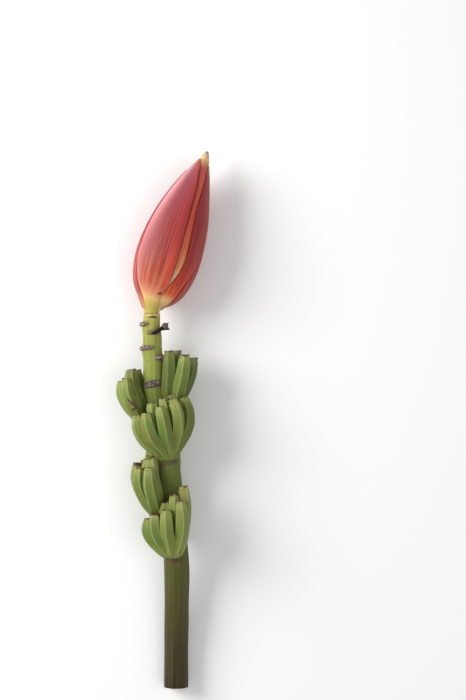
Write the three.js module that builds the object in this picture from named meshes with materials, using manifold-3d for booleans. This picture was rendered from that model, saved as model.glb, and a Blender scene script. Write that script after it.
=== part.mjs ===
// A cut banana blossom lying on its back: a curved stalk with young hands of fruit, a scarred neck,
// and a closed bud of red bracts. Millimetres, +Z up, +Y from the cut end towards the bud.
import * as THREE from "three";
import { mergeVertices } from "three/addons/utils/BufferGeometryUtils.js";
import Module from "manifold-3d";

const wasm = await Module();
wasm.setup();

// Driving dimensions
const GAP = 0.3; // clearance between neighbouring pieces
const STEM_TOP = 489.2; // from the cut end to the foot of the bud, measured along Y
const BUD_LENGTH = 212.4; // from the first bract foot's bend to the tip
const TIP_RADIUS = 0.8; // of the bud at its very tip
const BUD_NECK = 10; // the bracts' feet reach this far back over the neck
const BUD_TILT = THREE.MathUtils.degToRad(19.8); // the bud leans this far to the side
const BUD_BOW = 2; // and its middle stands this far out to the left of the straight line
const BEND_REACH = 8.5; // the bend between neck and bud runs this far on either side of its corner
const BEND_END = 6; // and it ends at this distance along the bud
const AXIS_HEIGHT = 42; // the bud's and the neck's centre line above the surface
const FINGER_RADIUS = 9.8; // at the thickest place, over the ridges
const FINGER_SIDES = 5;
const REST_SHARE = 0.82; // a finger's centre line stays this share of its radius above the surface
const CROWN = { wide: 14, tall: 8, deep: 8, rise: 7, sunk: 1 }; // the crown that carries a hand's fingers
const BRACT_STEP = 2.3; // from one bract's outer face down to the next one's
const BRACT_THICKNESS = 0.65; // a bract's own share of that step

// The stalk's centre line and radius, both against Y. It rises from its cut end, which rests, to the
// height of the neck.
const STEM_SIDEWAYS = [[0, 0], [104, 0.7], [162, 0.7], [221, -2.8], [286, -8.5], [338, -19.5],
  [390, -27.8], [419, -28.7], [451, -30.7], [475, -31.1], [STEM_TOP, -31.1]];
const STEM_HEIGHT = [[0, 15], [60, 18.5], [120, 27.5], [175, 35.5], [221, 39.5], [286, AXIS_HEIGHT],
  [STEM_TOP, AXIS_HEIGHT]];
const STEM_RADIUS = [[0, 15.4], [104, 15.8], [162, 16], [221, 15.4], [286, 14.2], [338, 13.8], [390, 13.6],
  [419, 13.4], [451, 11.9], [475, 11], [STEM_TOP, 10.8]];

// The bud's radius against the distance from its bend.
const BUD_OUTLINE = [[-BUD_NECK, 11.2], [-5, 13], [0, 16.5], [6, 22.5], [12, 27.8], [19, 32.6], [28, 36.6],
  [40, 40], [56, 42.4], [76, 42.4], [98, 40.2], [122, 35.8], [146, 29.4], [168, 22], [184, 15.4],
  [196, 9.9], [200, 8], [204, 6], [210, 3], [BUD_LENGTH, TIP_RADIUS]];

// Each bract's two margins in degrees round the bud, 0 facing up and 90 to the right, against the
// distance from the bend. Its layer is how many steps its outer face lies below the outermost one.
const BRACTS = [
  {
    name: "bract_front",
    colour: 0xb0585c,
    from: -BUD_NECK,
    to: 200,
    left: [[-10, -36], [-2, -34], [6, -37], [14, -43], [26, -50], [40, -55], [54, -60], [75, -63],
      [100, -66], [140, -68], [170, -67], [200, -66]],
    right: [[-10, 44], [0, 33], [8, 18], [15, 16], [21, 17], [31, 21], [54, 21.5], [77, 20], [100, 18],
      [127, 16], [156, 14], [170, 10], [184, 2], [192, -8], [200, -26]],
    layer: () => 0,
  },
  {
    name: "bract_right",
    colour: 0x8a3d3c,
    from: -5,
    to: 196,
    left: [[-5, 38], [0, 30], [6, 22], [12, 17], [22, 19], [32, 25], [41, 30], [50, 34], [62, 38], [81, 37],
      [100, 35], [128, 33], [147, 34], [173, 42], [188, 48], [196, 54]],
    right: [[-5, 86], [6, 100], [28, 118], [76, 130], [146, 130], [184, 118], [196, 106]],
    layer: () => 1,
  },
  {
    name: "bract_back",
    colour: 0x9c4a4c,
    from: -5,
    to: 184,
    left: [[-5, 74], [0, 66], [12, 56], [24, 56], [42, 63], [54, 71], [66, 77], [80, 80], [98, 82], [122, 86],
      [150, 97], [170, 114], [184, 134]],
    right: [[-5, 328], [0, 331], [12, 330], [28, 322], [52, 316], [76, 312], [110, 308], [150, 304],
      [170, 300], [184, 298]],
    layer: (angle) => smooth(angle, 268, 292), // its left margin slips under the front bract
  },
];
const BRACT_COLUMNS = 14; // degrees that one column of a bract spans at most

// Hands of fruit from the cut end up: foot is where the fingers leave the stalk, facing is the side that
// the crown stands on, outer and inner the sides that the fingertips of the two rows stand on, reach
// their distance from the stalk's centre. Skew makes the fingers on the right longer, in mm for 90 degrees.
const HANDS = [
  { name: "hand_1", foot: 174, facing: -14, reach: 38, length: 70, skew: 34, outer: [-62, -37, -12, 17],
    inner: [-24, 6, 37] },
  { name: "hand_2", foot: 197, facing: 200, reach: 40, length: 70, skew: 0, outer: [176, 200, 224],
    inner: [188, 212] },
  { name: "hand_3", foot: 220, facing: -82, reach: 42, length: 76, skew: 0, outer: [-126, -97, -67, -38],
    inner: [-112, -82, -50] },
  { name: "hand_4", foot: 250, facing: 196, reach: 40, length: 70, skew: 0, outer: [172, 194, 214],
    inner: [183, 205] },
  { name: "hand_5", foot: 299, facing: 18, reach: 43, length: 72, skew: 8, outer: [-37, -17, 9, 36, 66],
    inner: [-8, 24, 52] },
  { name: "hand_6", foot: 322, facing: 196, reach: 40, length: 66, skew: 0, outer: [160, 182, 204, 224],
    inner: [174, 212] },
  { name: "hand_7", foot: 344, facing: -100, reach: 38.5, length: 67, skew: 0, outer: [-150, -122, -92, -57],
    inner: [-136, -100, -62] },
  { name: "hand_8", foot: 352, facing: 100, reach: 53, length: 70, skew: -18, leans: true,
    outer: [62, 94, 128, 158], inner: [55, 86, 144] },
];
const HAND_ORDER = ["hand_5", "hand_1", "hand_7", "hand_8", "hand_3", "hand_4", "hand_6", "hand_2"];
// How far out a finger's centre line stands: share of its length, share of its reach.
const UPRIGHT_OUT = [[0.38, 0.84], [0.7, 1.03], [1, 0.98]];
const LEANING_OUT = [[0.38, 0.68], [0.7, 0.93], [1, 1.08]];
const INNER_REACH = 0.66; // the second row stands this much nearer the stalk
const INNER_EXTRA = 9; // and reaches this much further up
const UNEVEN_REACH = 2; // neighbouring fingers differ by up to this much
const UNEVEN_LENGTH = 6;
const ROOT_RISE = 4; // a finger's centre line starts this far above the foot of its hand
// A finger's rings from root to tip: share of its length, share of its thickness.
const FINGER_RINGS = [[0, 0.7], [0.2, 0.9], [0.45, 1], [0.72, 0.97], [0.93, 0.8], [0.942, 0.72], [1, 0.7]];

// Scars on the stalk: at is the distance from the cut end, facing the side, arc how far round it goes,
// tall and proud its height and how far it stands out.
const FLOWER_SCARS = [
  { at: 487, facing: 10, arc: 140, tall: 4, proud: 1.1 },
  { at: 475.5, facing: -66, arc: 104, tall: 5, proud: 3.2 },
  { at: 465, facing: 24, arc: 100, tall: 5, proud: 1.5 },
  { at: 458, facing: 162, arc: 100, tall: 5, proud: 1.8 },
  { at: 445, facing: -48, arc: 132, tall: 5.5, proud: 3 },
  { at: 431, facing: 64, arc: 104, tall: 6, proud: 3 },
  { at: 418, facing: -170, arc: 110, tall: 6, proud: 2 },
  { at: 398, facing: 4, arc: 128, tall: 8, proud: 2.2 },
];
const BRACT_SCAR = { arc: 120, tall: 2.6, proud: 1.1, below: 4 }; // the ridge under each hand
const SWELLING = { most: 1.9, below: 4, tall: 7 }; // the neck swells this much under each flower scar

// A smooth curve through points [x, value], held level past both ends.
function through(points) {
  const slope = (i) => {
    const a = points[Math.max(i - 1, 0)];
    const b = points[Math.min(i + 1, points.length - 1)];
    return (b[1] - a[1]) / (b[0] - a[0]);
  };
  return (x) => {
    if (x <= points[0][0]) return points[0][1];
    const next = points.findIndex((p) => p[0] > x);
    if (next < 0) return points.at(-1)[1];
    const [x0, y0] = points[next - 1];
    const [x1, y1] = points[next];
    const span = x1 - x0;
    const t = (x - x0) / span;
    const low = y0 * (1 + 2 * t) * (1 - t) ** 2 + slope(next - 1) * span * t * (1 - t) ** 2;
    const high = y1 * t * t * (3 - 2 * t) + slope(next) * span * t * t * (t - 1);
    return low + high;
  };
}

function smooth(x, start, end) {
  return THREE.MathUtils.smoothstep(x, start, end);
}

// A centre line's place and directions: along it, front (up) and side (right).
function frameOn(centre, along) {
  const front = new THREE.Vector3(0, 0, 1).addScaledVector(along, -along.z).normalize();
  const side = new THREE.Vector3().crossVectors(along, front);
  return { centre, along, front, side };
}

function around(frame, degrees, radius, rise = 0) {
  const angle = THREE.MathUtils.degToRad(degrees);
  return frame.centre
    .clone()
    .addScaledVector(frame.front, radius * Math.cos(angle))
    .addScaledVector(frame.side, radius * Math.sin(angle))
    .addScaledVector(frame.along, rise);
}

const stemX = through(STEM_SIDEWAYS);
const stemZ = through(STEM_HEIGHT);
const stemRadius = through(STEM_RADIUS);
// How far a finger has turned from the crown's side to its own, along its length.
const fingerSwing = through([[0, 0.45], [0.1, 0.6], [0.38, 0.92], [0.7, 1], [1, 1]]);
const budRadius = through(BUD_OUTLINE);

function stemFrame(y) {
  const point = (at) => new THREE.Vector3(stemX(at), at, stemZ(at));
  return frameOn(point(y), point(y + 1).sub(point(y - 1)).normalize());
}

// The bud's centre line: a short bend out of the neck, then a slight bow to the tip.
const budStart = new THREE.Vector3(stemX(STEM_TOP), STEM_TOP + GAP, AXIS_HEIGHT);
const budAlong = new THREE.Vector3(Math.sin(BUD_TILT), Math.cos(BUD_TILT), 0);
const bendCorner = budStart.clone().add(new THREE.Vector3(0, BEND_REACH, 0));
const bendEnd = bendCorner.clone().addScaledVector(budAlong, BEND_REACH);
const bend = new THREE.QuadraticBezierCurve3(budStart, bendCorner, bendEnd);

function budFrame(at) {
  const t = (at + BUD_NECK) / (BEND_END + BUD_NECK);
  if (t < 1) return frameOn(bend.getPoint(Math.max(t, 0)), bend.getTangent(Math.max(t, 0)));
  const straight = frameOn(bendEnd.clone().addScaledVector(budAlong, at - BEND_END), budAlong);
  const bow = BUD_BOW * Math.sin((Math.PI * (at - BEND_END)) / (BUD_LENGTH - BEND_END));
  straight.centre.addScaledVector(straight.side, -bow);
  return straight;
}

// Moves every vertex of a closed geometry by a formula and welds the seams.
function shaped(geometry, place) {
  const position = geometry.attributes.position;
  const corner = new THREE.Vector3();
  for (let i = 0; i < position.count; i++) {
    corner.fromBufferAttribute(position, i);
    position.setXYZ(i, ...place(corner.x, corner.y, corner.z).toArray());
  }
  geometry.deleteAttribute("normal");
  geometry.deleteAttribute("uv");
  return mergeVertices(geometry, 1e-4);
}

// A tube whose ring number i stands where ringPoint(i, degrees, share) says; share is 0 at an end's centre.
function tube(sides, rings, ringPoint) {
  return shaped(new THREE.CylinderGeometry(1, 1, 1, sides, rings - 1), (x, y, z) => {
    const ring = Math.round((y + 0.5) * (rings - 1));
    return ringPoint(ring, THREE.MathUtils.radToDeg(Math.atan2(x, z)), Math.hypot(x, z));
  });
}

function solidOf(geometry) {
  return new wasm.Manifold(
    new wasm.Mesh({
      numProp: 3,
      vertProperties: new Float32Array(geometry.attributes.position.array),
      triVerts: new Uint32Array(geometry.index.array),
    }),
  );
}

function geometryOf(solid) {
  const mesh = solid.getMesh();
  const geometry = new THREE.BufferGeometry();
  geometry.setAttribute("position", new THREE.BufferAttribute(mesh.vertProperties, 3));
  geometry.setIndex(new THREE.BufferAttribute(mesh.triVerts, 1));
  return geometry;
}

function joined(solids) {
  return solids.reduce((whole, one) => whole.add(one));
}

// Cutting can leave a loose scrap: only the largest body is kept.
function largest(solid) {
  return solid.decompose().reduce((a, b) => (a.volume() > b.volume() ? a : b));
}

// Everything above the surface: what would reach below it is cut to a small flat spot.
const ABOVE = solidOf(
  shaped(new THREE.BoxGeometry(600, 1600, 400), (x, y, z) => new THREE.Vector3(x, y, z + 200)),
);

// A ridge round part of the stalk, tapering out towards both its ends.
function scar(at, facing, arc, tall, proud, extra) {
  const depth = 3;
  return solidOf(
    shaped(new THREE.BoxGeometry(1, 1, 1, 4, 1, 1), (x, y, z) => {
      const fade = 0.3 + 0.7 * Math.cos(x * Math.PI);
      const y0 = at + y * (tall * fade + 2 * extra);
      const frame = stemFrame(y0);
      const out = z > 0 ? proud * fade + extra : -depth;
      return around(frame, facing + x * arc, stemRadius(y0) + out);
    }),
  );
}

// The dried flower still caught on the neck: a thin bent tube with a thicker end.
function driedFlower(extra) {
  const frame = stemFrame(468);
  const radii = [1.6, 2.3, 2.8, 4.2, 3.2];
  const path = new THREE.CatmullRomCurve3([
    around(frame, -8, 11.4, -5),
    around(frame, 22, 13.6, -3),
    around(frame, 46, 15.8, 0),
    around(frame, 62, 19.5, 4),
    around(frame, 70, 23, 8),
  ]);
  return solidOf(
    tube(5, radii.length, (ring, degrees, share) => {
      const t = ring / (radii.length - 1);
      const section = frameOn(path.getPoint(t), path.getTangent(t));
      return around(section, degrees, share * (radii[ring] + extra));
    }),
  );
}

// The stalk from the cut end to the bud, with its scars. Extra grows it, to cut clearance with.
function stem(extra) {
  const sides = 12;
  const rings = [0, 40, 85, 130, 170, 210, 255, 295, 320, 345, 370, 394, 405, 415, 427, 441, 453, 463,
    471.5, 481, STEM_TOP];
  const body = tube(sides, rings.length, (ring, degrees, share) => {
    const y = rings[ring];
    let radius = stemRadius(y) + extra;
    for (const mark of FLOWER_SCARS) {
      const below = Math.exp(-(((mark.at - SWELLING.below - y) / SWELLING.tall) ** 2));
      const facing = Math.max(0, Math.cos(THREE.MathUtils.degToRad(degrees - mark.facing)));
      radius += SWELLING.most * below * facing;
    }
    return around(stemFrame(y), degrees, share * radius);
  });
  const ridges = FLOWER_SCARS.map((m) => scar(m.at, m.facing, m.arc, m.tall, m.proud, extra));
  const lines = HANDS.map((hand) =>
    scar(hand.foot - BRACT_SCAR.below, hand.facing, BRACT_SCAR.arc, BRACT_SCAR.tall, BRACT_SCAR.proud, extra),
  );
  return joined([solidOf(body), ...ridges, ...lines, driedFlower(extra)]).intersect(ABOVE);
}

// One young fruit: narrow at its root in the crown, five-sided, and blunt where the flower was. Its
// centre line starts at the crown's side, swings over to its own and rises along the stalk.
function finger(hand, turn, reach, length, extra) {
  const base = stemFrame(hand.foot);
  const stalk = stemRadius(hand.foot);
  const shares = hand.leans ? LEANING_OUT : UPRIGHT_OUT;
  const free = shares.map(([t, share]) => [t, reach * share]);
  const outwards = through([[0, stalk - 3], [0.1, stalk + 5], ...free]);
  const place = (t) => {
    const side = hand.facing + (turn - hand.facing) * fingerSwing(t);
    const point = around(base, side, outwards(t), ROOT_RISE + (length - ROOT_RISE) * t);
    return point.setZ(Math.max(point.z, FINGER_RADIUS * REST_SHARE));
  };
  const step = 0.01;
  return solidOf(
    tube(FINGER_SIDES, FINGER_RINGS.length, (ring, degrees, share) => {
      const [t, thickness] = FINGER_RINGS[ring];
      const along = place(t + step).sub(place(t - step)).normalize();
      const out = around(base, turn, 1).sub(base.centre);
      out.addScaledVector(along, -out.dot(along)).normalize();
      const side = new THREE.Vector3().crossVectors(along, out);
      const section = { centre: place(t), along, front: out, side };
      return around(section, degrees, share * (FINGER_RADIUS * thickness + extra));
    }),
  );
}

// The crown that a hand's fingers grow from, saddled on the stalk.
function crown(hand, extra) {
  const base = stemFrame(hand.foot + CROWN.rise);
  const middle = around(base, hand.facing, stemRadius(hand.foot) - CROWN.sunk);
  const out = around(base, hand.facing, 1).sub(base.centre);
  const side = base.along.clone().cross(out);
  return solidOf(
    shaped(new THREE.SphereGeometry(1, 8, 5), (x, y, z) =>
      middle
        .clone()
        .addScaledVector(side, x * (CROWN.wide + extra))
        .addScaledVector(base.along, y * (CROWN.tall + extra))
        .addScaledVector(out, z * (CROWN.deep + extra)),
    ),
  );
}

// Two rows of fingers on one crown, no two of the same size.
function hand(spec, extra) {
  const random = seeded(spec.foot);
  const solids = [crown(spec, extra)];
  const row = (turns, reach, length) => {
    for (const turn of turns) {
      const longer = (spec.skew * (turn - spec.facing)) / 90;
      const further = UNEVEN_REACH * (random() - 0.5);
      const uneven = UNEVEN_LENGTH * (random() - 0.5);
      solids.push(finger(spec, turn, reach + further, length + longer + uneven, extra));
    }
  };
  row(spec.outer, spec.reach, spec.length);
  row(spec.inner, spec.reach * INNER_REACH, spec.length + INNER_EXTRA);
  return joined(solids).intersect(ABOVE);
}

// A repeatable run of random numbers from 0 to 1.
function seeded(seed) {
  let state = seed;
  return () => {
    state = (state * 16807) % 2147483647;
    return state / 2147483647;
  };
}

// How far apart the bracts lie: closer together at the neck and at the tip.
function stepAt(at) {
  return BRACT_STEP * (0.5 + 0.5 * smooth(at, 0, 40) * (1 - smooth(at, 140, 190)));
}

// One bract: a curved shell between its margins.
function bract(spec) {
  const rows = BUD_OUTLINE.map((p) => p[0]).filter((at) => at >= spec.from && at <= spec.to);
  const left = through(spec.left);
  const right = through(spec.right);
  const width = Math.max(...rows.map((at) => right(at) - left(at)));
  const columns = Math.ceil(width / BRACT_COLUMNS);
  const sheet = new THREE.BoxGeometry(1, 1, 1, columns, rows.length - 1, 1);
  return shaped(sheet, (x, y, z) => {
    const at = rows[Math.round((y + 0.5) * (rows.length - 1))];
    const angle = THREE.MathUtils.lerp(left(at), right(at), x + 0.5);
    const outer = budRadius(at) - spec.layer(angle) * stepAt(at);
    return around(budFrame(at), angle, z > 0 ? outer : outer - BRACT_THICKNESS * stepAt(at));
  });
}

// The bracts still closed inside, seen between the outer ones and at the tip.
function innerBud() {
  const rows = BUD_OUTLINE.map((p) => p[0]);
  return tube(22, rows.length, (ring, degrees, share) => {
    const at = rows[ring];
    const covered = 2 * stepAt(at) * (0.45 + 0.55 * smooth(at, -BUD_NECK, -5)) * (1 - smooth(at, 200, 206));
    return around(budFrame(at), degrees, share * Math.max(budRadius(at) - covered, TIP_RADIUS));
  });
}

function mesh(name, geometry, colour, roughness) {
  const look = { color: colour, roughness, metalness: 0, flatShading: true };
  const piece = new THREE.Mesh(geometry, new THREE.MeshStandardMaterial(look));
  piece.name = name;
  return piece;
}

const blossom = new THREE.Group();
blossom.add(mesh("stem", geometryOf(largest(stem(0))), 0x8f9452, 0.55));

// The hands that face up keep their fingers whole, and the ones behind give way to them.
const stemClearance = stem(GAP);
let taken = stemClearance;
for (const name of HAND_ORDER) {
  const spec = HANDS.find((one) => one.name === name);
  blossom.add(mesh(name, geometryOf(largest(hand(spec, 0).subtract(taken))), 0x8c9a58, 0.5));
  taken = taken.add(hand(spec, GAP));
}

blossom.add(mesh("inner_bud", geometryOf(solidOf(innerBud()).intersect(ABOVE)), 0x9c5440, 0.5));
for (const spec of BRACTS) {
  blossom.add(mesh(spec.name, geometryOf(solidOf(bract(spec)).intersect(ABOVE)), spec.colour, 0.45));
}

// The origin goes to the middle of the resting side.
const box = new THREE.Box3().setFromObject(blossom);
const middle = box.getCenter(new THREE.Vector3());
blossom.position.set(-middle.x, -middle.y, -box.min.z);

export default blossom;
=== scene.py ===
"""The looks of a cut banana blossom lying on its back: stalk, scars, hands of young fruit, bracts."""

import math

import bpy
import numpy as np
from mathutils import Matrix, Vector


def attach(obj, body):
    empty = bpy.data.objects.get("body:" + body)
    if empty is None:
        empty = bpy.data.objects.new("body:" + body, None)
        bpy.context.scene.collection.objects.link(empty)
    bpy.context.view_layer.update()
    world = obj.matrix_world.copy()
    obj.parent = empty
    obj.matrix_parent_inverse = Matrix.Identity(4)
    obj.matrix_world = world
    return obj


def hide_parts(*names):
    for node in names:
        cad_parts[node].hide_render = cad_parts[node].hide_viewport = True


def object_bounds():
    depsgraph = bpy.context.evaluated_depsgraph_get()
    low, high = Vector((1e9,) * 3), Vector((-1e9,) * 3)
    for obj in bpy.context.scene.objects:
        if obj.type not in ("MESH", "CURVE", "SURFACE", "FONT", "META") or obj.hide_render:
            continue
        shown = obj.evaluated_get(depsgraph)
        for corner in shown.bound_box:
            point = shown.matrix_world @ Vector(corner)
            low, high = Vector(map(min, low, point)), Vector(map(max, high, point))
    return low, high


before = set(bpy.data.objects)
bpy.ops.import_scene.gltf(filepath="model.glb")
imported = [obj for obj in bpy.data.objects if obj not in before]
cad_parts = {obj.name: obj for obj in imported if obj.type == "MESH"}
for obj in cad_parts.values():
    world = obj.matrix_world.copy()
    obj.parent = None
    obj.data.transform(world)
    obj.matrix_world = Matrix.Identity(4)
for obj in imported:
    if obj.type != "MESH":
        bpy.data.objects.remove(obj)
cad_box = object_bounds()

MM = 0.001

# Driving dimensions in millimetres, as the solids have them. Y runs from the cut end to the bud.
GAP = 0.3  # between the stalk's end and the foot of the bud
STEM_TOP = 489.2  # from the cut end to the foot of the bud, measured along Y
BUD_LENGTH = 212.4  # from the bend at the bud's foot to the tip
TIP_RADIUS = 0.8  # of the bud at its very tip
BUD_NECK = 10.0  # the bracts' feet reach this far back over the neck
BUD_TILT = math.radians(19.8)  # the bud leans this far to the side
BUD_BOW = 2.0  # and its middle stands this far out to the left of the straight line
BEND_END = 6.0  # the bend between neck and bud ends at this distance along the bud
BEND_REACH = 8.5  # and runs this far on either side of its corner
AXIS_HEIGHT = 42.0  # the bud's and the neck's centre line above the surface
FINGER_RADIUS = 9.8  # at the thickest place, over the ridges
FINGER_SIDES = 5
REST_SHARE = 0.82  # a finger's centre line stays this share of its radius above the surface
CROWN = {"wide": 14, "tall": 8, "deep": 8, "rise": 7, "sunk": 1}  # what a hand's fingers grow from
BRACT_STEP = 2.3  # from one bract's outer face down to the next one's
BRACT_THICKNESS = 0.65  # a bract's own share of that step

# The stalk's centre line and radius against Y, and the bud's radius against the distance from its bend
STEM_SIDEWAYS = [(0, 0), (104, 0.7), (162, 0.7), (221, -2.8), (286, -8.5), (338, -19.5), (390, -27.8),
                 (419, -28.7), (451, -30.7), (475, -31.1), (STEM_TOP, -31.1)]
STEM_HEIGHT = [(0, 15), (60, 18.5), (120, 27.5), (175, 35.5), (221, 39.5), (286, AXIS_HEIGHT),
               (STEM_TOP, AXIS_HEIGHT)]
STEM_RADIUS = [(0, 15.4), (104, 15.8), (162, 16), (221, 15.4), (286, 14.2), (338, 13.8), (390, 13.6),
               (419, 13.4), (451, 11.9), (475, 11), (STEM_TOP, 10.8)]
BUD_OUTLINE = [(-BUD_NECK, 11.2), (-5, 13), (0, 16.5), (6, 22.5), (12, 27.8), (19, 32.6), (28, 36.6),
               (40, 40), (56, 42.4), (76, 42.4), (98, 40.2), (122, 35.8), (146, 29.4), (168, 22),
               (184, 15.4), (196, 9.9), (200, 8), (204, 6), (210, 3), (BUD_LENGTH, TIP_RADIUS)]

# Hands of fruit from the cut end up: foot is where the fingers leave the stalk, facing the side that
# the crown stands on, outer and inner the sides that the fingertips of the two rows stand on, and reach
# their distance from the stalk's centre. Skew makes the fingers on the right longer, in mm for 90
# degrees. The fingers of a hand that leans stand outward up to their tips. Withered lists the tips with
# a broad withered rim, and the table of darker fingers gives how much painted shade darkens each one's
# green, as if it lay in the other fingers' shadow.
HANDS = {
    "hand_1": {"foot": 174, "facing": -14, "reach": 38, "length": 70, "skew": 34,
               "outer": [-62, -37, -12, 17], "inner": [-24, 6, 37], "withered": [-37]},
    "hand_2": {"foot": 197, "facing": 200, "reach": 40, "length": 70,
               "outer": [176, 200, 224], "inner": [188, 212]},
    "hand_3": {"foot": 220, "facing": -82, "reach": 42, "length": 76,
               "outer": [-126, -97, -67, -38], "inner": [-112, -82, -50], "withered": [-97]},
    "hand_4": {"foot": 250, "facing": 196, "reach": 40, "length": 70,
               "outer": [172, 194, 214], "inner": [183, 205]},
    "hand_5": {"foot": 299, "facing": 18, "reach": 43, "length": 72, "skew": 8,
               "outer": [-37, -17, 9, 36, 66], "inner": [-8, 24, 52], "painted_shade": {66: 0.3, 52: 0.3}},
    "hand_6": {"foot": 322, "facing": 196, "reach": 40, "length": 66,
               "outer": [160, 182, 204, 224], "inner": [174, 212]},
    "hand_7": {"foot": 344, "facing": -100, "reach": 38.5, "length": 67,
               "outer": [-150, -122, -92, -57], "inner": [-136, -100, -62], "painted_shade": {-62: 0.35}},
    "hand_8": {"foot": 352, "facing": 100, "reach": 53, "length": 70, "skew": -18, "leans": True,
               "outer": [62, 94, 128, 158], "inner": [55, 86, 144],
               "painted_shade": {94: 0.45, 128: 0.5, 158: 0.4, 55: 0.4, 86: 0.4, 144: 0.4}},
}
# How far out a finger's centre line stands: share of its length, share of its reach.
UPRIGHT_OUT = [(0.38, 0.84), (0.7, 1.03), (1, 0.98)]
LEANING_OUT = [(0.38, 0.68), (0.7, 0.93), (1, 1.08)]
INNER_REACH = 0.66  # the second row stands this much nearer the stalk
INNER_EXTRA = 9.0  # and reaches this much further up
UNEVEN_REACH = 2.0  # neighbouring fingers differ by up to this much
UNEVEN_LENGTH = 6.0
ROOT_RISE = 4.0  # a finger's centre line starts this far above the foot of its hand
ROOT_SUNK = 3  # and this far under the stalk's skin
ROOT_OUT = 5  # and stands this far out of it a tenth of the way up
SLIMMER = 0.97  # keeps the finer fingers inside the solids'
CUP_EDGE = 0.943  # share of a finger's length where a dark scar runs round it
RIM_EDGE = 0.982  # and where its withered rim begins

# Scars on the neck: distance from the cut end, facing, arc, tall, proud, and how much the right end
# stands higher. The first is the pale ring under the bud, the last the dark one among the hands.
FLOWER_SCARS = [
    (487, 10, 140, 4, 1.1, 0),
    (475.5, -66, 104, 5, 3.2, 1),
    (465, 24, 100, 5, 1.5, 1),
    (458, 162, 100, 5, 1.8, 0),
    (445, -48, 132, 5.5, 3, 1),
    (431, 64, 104, 6, 3, -2),
    (418, -170, 110, 6, 2, 0),
    (398, 4, 128, 8, 2.2, 4),
]
FOOT_RING = 0
LOWEST_SCAR = 7
DARK_CRACK = (484.6, 12, 52, 2, 0.9, 0)  # just under the pale ring
BRACT_SCAR = {"arc": 120, "tall": 2.6, "proud": 1.1, "below": 4}  # the ridge under each hand
LOWER_RIDGE = 0.7  # share of that height that the rough ridge has
RIDGE_SLANT = 2  # its right end stands this much higher
SCAR_SUNK = 0.6  # how deep a scar's underside sits in the stalk
SWELLING = {"most": 1.9, "below": 4, "tall": 7}  # the neck's, under each flower scar

# The finer surface of the stalk
STALK_ROW = 1.4  # distance between its rings
CUT_FACE_RINGS = [0.35, 0.75, 0.97]  # rings across the cut face, as shares of its radius
PLEATS = 0.3  # how far they stand out
UNEVEN_SKIN = 0.35

# The finer surface of the bud
BRACT_ROWS = 190
ROUNDED_END = 12.0  # a bract's margins end this much below its middle
RIBS = 68  # fine ones, counted round the whole bud
BROAD_RIBS = 30
RIB_HEIGHT = 0.2
BROAD_RIB_HEIGHT = 0.12
INNER_RIB_HEIGHT = 0.08
UNEVEN_BRACT = 0.3
INNER_BULGE = 1.8  # the inner bud's, between the front and the right bract
TIP_FOLDS = 0.07  # share of the tip's radius

# The withered flower on the neck and the dried threads between two hands. Each strand has its places,
# and against its length how thick and how brown it is. The flower's places are a side, a distance from
# the neck's axis and a rise along it from the flower's foot. The threads' are x, y and z.
FLOWER_FOOT = 468
DRIED_FLOWER = [
    {"places": [(-12, 11.6, -5), (18, 13.6, -3.4), (42, 15.8, 0), (60, 19.8, 4.4), (70, 24, 9.6)],
     "thick": [(0, 0.7), (0.12, 1.9), (0.45, 2.6), (0.6, 2.7), (0.74, 4.2), (0.84, 3.4), (0.92, 0.9),
               (1, 0.35)],
     "brown": [(0, 0), (0.62, 0), (0.72, 0.85), (0.84, 0.7), (0.9, 0), (1, 0)], "seed": 70},
    {"places": [(52, 18, 1), (64, 21.4, 1.6), (74, 25, 0.4)],
     "thick": [(0, 1.8), (0.5, 1.9), (0.8, 1.1), (1, 0.35)], "brown": [(0, 0), (1, 0)], "seed": 75},
    {"places": [(-30, 11.4, -4.6), (-18, 12.2, -5), (0, 13, -5)],
     "thick": [(0, 0.5), (0.5, 1.2), (1, 1.3)], "brown": [(0, 0.9), (1, 0.1)], "seed": 79},
]
DRIED_THREADS = [
    [(-62, 381.5, 70.2), (-58.5, 376.5, 70.2), (-54.5, 372.5, 69.4), (-50.5, 368.2, 67.2)],
    [(-56.4, 375.4, 70), (-53.4, 374.2, 70.6), (-50.8, 370.4, 68.8), (-49.6, 366.8, 66.8)],
    [(-50.5, 368.6, 67.4), (-53, 366.2, 67), (-56.2, 365, 65.8)],
]
THREAD_THICK = [(0, 0.5), (0.4, 1.7), (0.8, 1.2), (1, 0.4)]
THREAD_BROWN = [(0, 0.3), (0.5, 0.7), (1, 0.2)]

# The picture's size, and where the cut end's middle falls in it
PHOTO_WIDTH, PHOTO_HEIGHT = 466, 700
PIXEL = 1.3  # millimetres a pixel
CUT_END_PIXEL = (175.5, 690)
CAMERA_DISTANCE = 2.6  # metres, like the floor's and the lights' measures
FLOOR_SIZE = 8.0
SKY_STRENGTH = 0.42
LIGHTS = {
    "key": {"place": (-1.7, 0.8, 1.3), "target": (0, 0.1, 0), "size": 1.3, "power": 50},
    "fill": {"place": (0.9, -0.3, 2.1), "target": (0, 0, 0), "size": 1.8, "power": 13},
}


def smooth(x, start, end):
    """0 before start, 1 after end, and a smooth rise between them."""
    t = np.clip((np.asarray(x, float) - start) / (end - start), 0, 1)
    return t * t * (3 - 2 * t)


def through(points):
    """A smooth curve through points (x, value), held level past both ends."""
    xs, ys = np.array(points, float).T
    before = np.maximum(np.arange(len(xs)) - 1, 0)
    after = np.minimum(np.arange(len(xs)) + 1, len(xs) - 1)
    slopes = (ys[after] - ys[before]) / (xs[after] - xs[before])

    def curve(x):
        x = np.clip(np.asarray(x, float), xs[0], xs[-1])
        i = np.clip(np.searchsorted(xs, x, side="right") - 1, 0, len(xs) - 2)
        span = xs[i + 1] - xs[i]
        t = (x - xs[i]) / span
        low = ys[i] * (1 + 2 * t) * (1 - t) ** 2 + slopes[i] * span * t * (1 - t) ** 2
        high = ys[i + 1] * t * t * (3 - 2 * t) + slopes[i + 1] * span * t * t * (t - 1)
        return low + high

    return curve


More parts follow.
